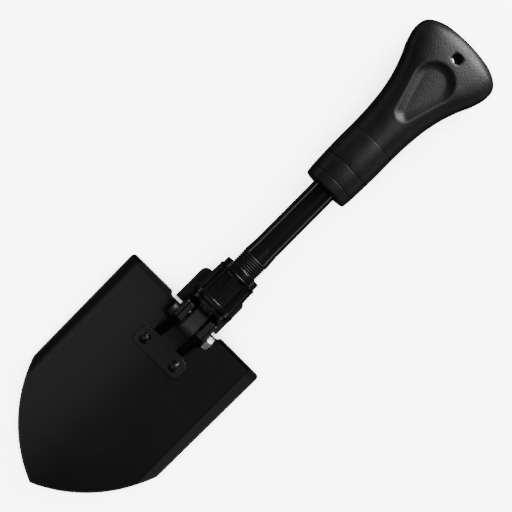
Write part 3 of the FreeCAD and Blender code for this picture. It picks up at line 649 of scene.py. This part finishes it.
def make_lock_nut():
    """A hand nut: plain front rim, ten narrow ribs between wide grooves, and a back collar."""
    low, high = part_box("lock_nut")
    front, back, rim = low.y, high.y, high.x
    rib_front, rib_back = rim - 1.45 * MM, rim - 2.2 * MM
    groove_front, groove_back = front + RIM_DEPTH, back - BACK_COLLAR
    bore, lip = 12.43 * MM, 10.39 * MM
    half_pitch = math.pi / RIB_COUNT
    steps = [0.0, 0.3, 0.55, 0.75, 0.87, 0.94, 0.975, 1.0]
    offsets = [share * GROOVE_HALF for share in steps] + [0.5 * (GROOVE_HALF + half_pitch), half_pitch]
    turns = []
    for number in range(RIB_COUNT):
        middle_turn = GROOVE_PHASE + 2 * number * half_pitch
        turns += [middle_turn - offset for offset in reversed(offsets[1:-1])]
        turns += [middle_turn + offset for offset in offsets]

    def ring(along, radius, share=0.0):
        made = []
        for turn in turns:
            from_middle = (turn - GROOVE_PHASE + half_pitch) % (2 * half_pitch) - half_pitch
            into = min(abs(from_middle) / GROOVE_HALF, 1.0)
            depth = GROOVE_DEPTH * share * (1 - into ** GROOVE_SQUARENESS) ** (1 / GROOVE_SQUARENESS)
            made.append(off_axis(radius - depth, along, turn))
        return made

    rings = [ring(front, bore), ring(back - 2.05 * MM, bore), ring(back - 2.05 * MM, lip),
             ring(back - 0.3 * MM, lip), ring(back, lip + 0.3 * MM)]
    for tilt in quarter(4):
        rings.append(ring(back - 0.8 * MM * (1 - math.cos(tilt)),
                          BACK_COLLAR_RADIUS - 0.8 * MM * (1 - math.sin(tilt))))
    rings.append(ring(groove_back + 0.25 * MM, BACK_COLLAR_RADIUS))
    for tilt in quarter(4):
        rings.append(ring(groove_back - 0.5 * MM * (1 - math.cos(tilt)) + 0.05 * MM,
                          rib_back - 0.5 * MM * (1 - math.sin(tilt))))
    start = groove_back - 0.9 * MM
    for step in range(9):
        into = step / 8
        rings.append(ring(start - GROOVE_END * into, rib_back, math.sqrt(1 - (1 - into) ** 2)))
    for step in range(1, 11):
        share = step / 10
        along = start - GROOVE_END + (groove_front - start + GROOVE_END) * share
        rings.append(ring(along, rib_back + (rib_front - rib_back) * share, 1.0))
    for tilt in quarter(5):
        rings.append(ring(groove_front - 0.7 * MM * (1 - math.cos(tilt)),
                          rim - 0.7 * MM * (1 - math.sin(tilt))))
    for tilt in reversed(quarter(4)):
        rings.append(ring(front + 0.6 * MM * (1 - math.cos(tilt)),
                          rim - 0.6 * MM * (1 - math.sin(tilt))))
    new_piece("ribbed_nut", *skin(rings), "lock_nut", "lock_nut", sharp=32.0)


# ---------------------------------------------------------------- handle collar

SEAM_ROUND = 0.45 * MM


def make_collar():
    """The wiper ring on the grip, and the band and shell of the twist collar."""
    low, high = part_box("wiper_ring")
    outer, bore, nose = high.x, 9.54 * MM, 12.05 * MM
    turned_about_y("wiper_shell", [
        (low.y, bore, 0.2 * MM), (low.y + 0.6 * MM, bore), (low.y + 0.6 * MM, nose),
        (high.y, nose), (high.y, outer, SEAM_ROUND),
        (low.y + 0.9 * MM, outer - 0.7 * MM, 0.9 * MM), (low.y, outer - 1.5 * MM, 0.6 * MM),
    ], "grip", "wiper_ring")
    low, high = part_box("collar_band")
    turned_about_y("band_shell", [
        (low.y, 12.7 * MM), (high.y, 12.7 * MM), (high.y, high.x, SEAM_ROUND),
        (low.y, high.x - 0.45 * MM, SEAM_ROUND),
    ], "twist_collar", "collar_band")
    low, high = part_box("twist_collar")
    turned_about_y("collar_shell", [
        (low.y, 12.7 * MM), (high.y, 12.7 * MM), (high.y, high.x - 0.2 * MM, SEAM_ROUND),
        ((low.y + high.y) / 2, high.x, 6 * MM), (low.y, high.x - 0.25 * MM, SEAM_ROUND),
    ], "twist_collar", "twist_collar")


# ---------------------------------------------------------------- grip

# Places along the grip: how far before its end, half width, half height and squareness.
GRIP_PLACES = [
    (93.8, 18.3, 18.3, 2.0), (82.0, 18.6, 18.4, 2.0), (77.0, 18.9, 18.4, 2.05), (63.9, 20.2, 18.2, 2.15),
    (50.9, 22.9, 17.8, 2.3), (38.9, 26.9, 17.2, 2.5), (27.9, 31.7, 16.5, 2.7), (17.4, 34.25, 15.4, 2.8),
    (8.5, 32.3, 13.6, 2.7), (2.6, 22.8, 10.4, 2.5), (0.6, 10.5, 6.4, 2.3), (0.0, 0.1, 0.1, 2.0),
]
LANYARD_BEFORE_END = 15.2 * MM
LANYARD_RADIUS = 3.55 * MM
LANYARD_ROUND = 1.1 * MM
SCOOP_POINT = 73.3 * MM
SCOOP_LENGTH = 51.0 * MM
SCOOP_POINT_RADIUS = 7.6 * MM
SCOOP_ROUND_RADIUS = 15.6 * MM
SCOOP_DEPTH = 0.7 * MM
SCOOP_DISH = 2.2 * MM
SCOOP_EDGE = 4.0 * MM
BORE_LENGTH, BORE_RADIUS = 70.9 * MM, 12.65 * MM
POINT = 0.05 * MM
GRIP_STEPS = 240
STEPS_BETWEEN_PLACES = 14


def teardrop_gap(across, along):
    """Signed distance to a teardrop that starts at the origin and widens along its length."""
    across = abs(across)
    along -= SCOOP_POINT_RADIUS
    length = SCOOP_LENGTH - SCOOP_POINT_RADIUS - SCOOP_ROUND_RADIUS
    lean = (SCOOP_POINT_RADIUS - SCOOP_ROUND_RADIUS) / length
    rise = math.sqrt(1 - lean ** 2)
    way = along * rise - across * lean
    side = across * rise + along * lean
    if way < 0:
        return math.hypot(across, along) - SCOOP_POINT_RADIUS
    if way > length * rise:
        return math.hypot(across, along - length) - SCOOP_ROUND_RADIUS
    return side - SCOOP_POINT_RADIUS


def make_grip():
    """A flared nylon grip with a thumb scoop, a lanyard hole and a soft rim."""
    low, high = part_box("grip_body")
    end = high.y
    bore_end = low.y + BORE_LENGTH

    def ring(along, half_width, half_height, squareness):
        made = []
        for turn in evenly(GRIP_STEPS):
            sine, cosine = math.sin(turn), math.cos(turn)
            across = math.copysign(abs(sine) ** (2 / squareness), sine) * half_width
            up = math.copysign(abs(cosine) ** (2 / squareness), cosine) * half_height
            if up > 0:
                gap = -teardrop_gap(across, along - (end - SCOOP_POINT))
                up -= SCOOP_DEPTH * smoothstep(0.0, SCOOP_EDGE, gap)
                up -= SCOOP_DISH * smoothstep(0.0, SCOOP_POINT_RADIUS, gap)
            from_hole = math.hypot(across, along - end + LANYARD_BEFORE_END) - LANYARD_RADIUS
            if from_hole < LANYARD_ROUND:
                into = 1 - max(from_hole, 0.0) / LANYARD_ROUND
                up -= math.copysign(LANYARD_ROUND * (1 - math.sqrt(1 - into ** 2)), up)
            made.append(Vector((across, along, AXIS_Z + up)))
        return made

    places = through([(end - before * MM, width * MM, height * MM, square)
                      for before, width, height, square in GRIP_PLACES], STEPS_BETWEEN_PLACES)
    rings = [ring(bore_end, POINT, POINT, 2.0), ring(bore_end, BORE_RADIUS, BORE_RADIUS, 2.0),
             ring(low.y, BORE_RADIUS, BORE_RADIUS, 2.0)]
    front = places[0]
    for tilt in quarter(4):
        rings.append(ring(front[0] + SEAM_ROUND * (1 - math.cos(math.pi / 2 - tilt)),
                          front[1] - SEAM_ROUND * (1 - math.sin(tilt)),
                          front[2] - SEAM_ROUND * (1 - math.sin(tilt)), 2.0))
    rings += [ring(*place) for place in places if place[0] > front[0] + 1.5 * SEAM_ROUND]
    piece = new_piece("grip_shell", *skin(rings, closed=False), "grip", "grip_body", sharp=50.0)
    drill_lanyard_hole(piece, end - LANYARD_BEFORE_END)


def drill_lanyard_hole(piece, along):
    """Cut the lanyard hole straight through the grip's mesh."""
    drill = bpy.data.meshes.new("lanyard_drill")
    work = bmesh.new()
    bmesh.ops.create_cone(work, cap_ends=True, segments=64, radius1=LANYARD_RADIUS,
                          radius2=LANYARD_RADIUS, depth=60 * MM)
    bmesh.ops.translate(work, verts=work.verts, vec=(0, along, AXIS_Z))
    work.to_mesh(drill)
    work.free()
    cutter = bpy.data.objects.new("lanyard_drill", drill)
    bpy.context.scene.collection.objects.link(cutter)
    cut = piece.modifiers.new("Lanyard", "BOOLEAN")
    cut.object = cutter
    cut.operation = "DIFFERENCE"
    graph = bpy.context.evaluated_depsgraph_get()
    drilled = bpy.data.meshes.new_from_object(piece.evaluated_get(graph))
    piece.modifiers.remove(cut)
    piece.data = drilled
    bpy.data.objects.remove(cutter)
    drilled.shade_smooth()
    drilled.set_sharp_from_angle(angle=math.radians(40))


# ---------------------------------------------------------------- floor, light and camera

CAMERA_TURN = (-2.24, 5.32, -45.09)
CAMERA_SHIFT = (-4.07 * MM, -5.47 * MM)
CAMERA_DISTANCE = 1.2
CAMERA_LENS = 125.4
CAMERA_AIM = Vector((0, 0, 20 * MM))
FLOOR_GLOW = 7.0
WORLD_GLOW = 0.045
# The floor's profile, from its middle outwards: how far out and how high.
FLOOR_PROFILE = [(0.0, 0.0), (6.0, 0.0), (7.2, 0.5), (8.0, 1.7), (8.3, 3.5)]
FLOOR_MIDDLE = 0.001
FLOOR_DROP = 0.2 * MM
# How far the floor looks for the object when its painted contact shadow is laid.
PAINTED_SHADOW_REACH = 0.045
# The low box over the blade: a point on its right edge, its size, turn about Z and brightness.
BLADE_BOX_EDGE = (0.0138, -0.215, 0.30)
BLADE_BOX_SIZE = (0.36, 0.37)
BLADE_BOX_TURN = -math.radians(5.0)
BLADE_BOX_RADIANCE = 0.42
# The other boxes: place, what each faces, width and length, and brightness.
SOFTBOXES = {
    "high_box": ((0.42, -0.14, 1.08), (0, -0.14, 0.03), (0.34, 0.64), 0.18),
    "rear_box": ((0.42, 0.46, 1.08), (0, 0.46, 0.03), (0.34, 0.52), 4.0),
    "end_box": ((0.14, 1.15, 0.50), (0, 0.2, 0.03), (0.75, 0.36), 26.0),
    "back_box": ((0.16, 0.95, 0.95), (0, 0.2, 0.03), (0.55, 0.50), 7.0),
    "left_strip": ((-1.0, 0.1, 0.06), (0, 0, 0.02), (1.4, 0.10), 2.2),
    "right_strip": ((1.0, 0.05, 0.06), (0, 0, 0.02), (1.4, 0.10), 2.2),
}


def make_camera():
    """A long lens over the object, turned so that the handle runs up to the right."""
    data = bpy.data.cameras.new("camera")
    data.lens = CAMERA_LENS
    camera = bpy.data.objects.new("camera", data)
    bpy.context.scene.collection.objects.link(camera)
    view = Euler([math.radians(turn) for turn in CAMERA_TURN]).to_matrix().transposed()
    seat = CAMERA_AIM + view @ Vector((-CAMERA_SHIFT[0], -CAMERA_SHIFT[1], CAMERA_DISTANCE))
    camera.matrix_world = Matrix.Translation(seat) @ view.to_4x4()
    bpy.context.scene.camera = camera


def make_floor():
    """A pale glowing paper floor that sweeps up far behind the object, its glow darkened by a painted
    contact shadow where the object covers it.
    """
    rings = []
    for reach, rise in FLOOR_PROFILE:
        radius = max(reach, FLOOR_MIDDLE)
        rings.append([Vector((radius * math.cos(turn), radius * math.sin(turn), rise - FLOOR_DROP))
                      for turn in evenly(ROUND_STEPS)])
    points, faces = skin(rings, closed=False)
    mesh = bpy.data.meshes.new("floor")
    mesh.from_pydata(points, [], faces)
    mesh.shade_smooth()
    floor = bpy.data.objects.new("floor", mesh)
    bpy.context.scene.collection.objects.link(floor)
    floor.visible_glossy = False
    floor.visible_diffuse = False
    paper = Finish("floor_paper", specular=0.1)
    open_sky = paper.node("ShaderNodeAmbientOcclusion", {"samples": 8},
                          {"Distance": PAINTED_SHADOW_REACH}, "AO")
    mottle = paper.noise(3.0, 3.0)
    paper.set("Base Color", paper.mixed(grey(0.86), grey(0.90), mottle))
    paper.set("Roughness", 0.9 + 0.05 * mottle)
    # Painted shadow: the floor's glow is dimmed toward black where ambient occlusion finds the object
    # covering it.
    glow_outside_painted_shadow = paper.ramp(open_sky, (0.04, 0.0), (0.75, 1.0))
    paper.set("Emission Color", paper.mixed(grey(0.02), grey(1.0), glow_outside_painted_shadow))
    paper.set("Emission Strength", FLOOR_GLOW)
    mesh.materials.append(paper.material)


def softbox(name, place, aim, size, radiance, roll=0.0):
    """A soft rectangular light of a given brightness, unseen by the camera."""
    light = bpy.data.lights.new(name, "AREA")
    light.shape = "RECTANGLE"
    light.size, light.size_y = size
    light.energy = radiance * math.pi * size[0] * size[1]
    box = bpy.data.objects.new(name, light)
    bpy.context.scene.collection.objects.link(box)
    way = Vector(aim) - Vector(place)
    turn = way.to_track_quat("-Z", "Y").to_matrix().to_4x4() @ Matrix.Rotation(roll, 4, "Z")
    box.matrix_world = Matrix.Translation(place) @ turn
    box.visible_camera = False


def make_lights():
    """A low box whose right edge falls across the blade, and softer boxes to the sides."""
    world = bpy.data.worlds.new("studio")
    world.use_nodes = True
    backdrop = world.node_tree.nodes["Background"]
    backdrop.inputs["Color"].default_value = grey(1.0)
    backdrop.inputs["Strength"].default_value = WORLD_GLOW
    bpy.context.scene.world = world
    across, along = BLADE_BOX_SIZE
    middle_of_box = Vector(BLADE_BOX_EDGE) + Vector((-across / 2, 0, 0))
    below = middle_of_box - Vector((0, 0, 1))
    softbox("blade_box", middle_of_box, below, (across, along), BLADE_BOX_RADIANCE, BLADE_BOX_TURN)
    for name, (place, aim, size, radiance) in SOFTBOXES.items():
        softbox(name, place, aim, size, radiance)


# ---------------------------------------------------------------- making

for node_name, slot_name in SLOT_OF.items():
    dress(node_name, slot_name)
for node_name, edge in EDGE_OF.items():
    soften(node_name, edge * MM)

make_camera()
make_floor()
make_lights()
make_blade()
make_hex_nut()
make_hinge_bolt()
make_thread()
make_lock_nut()
make_collar()
make_grip()
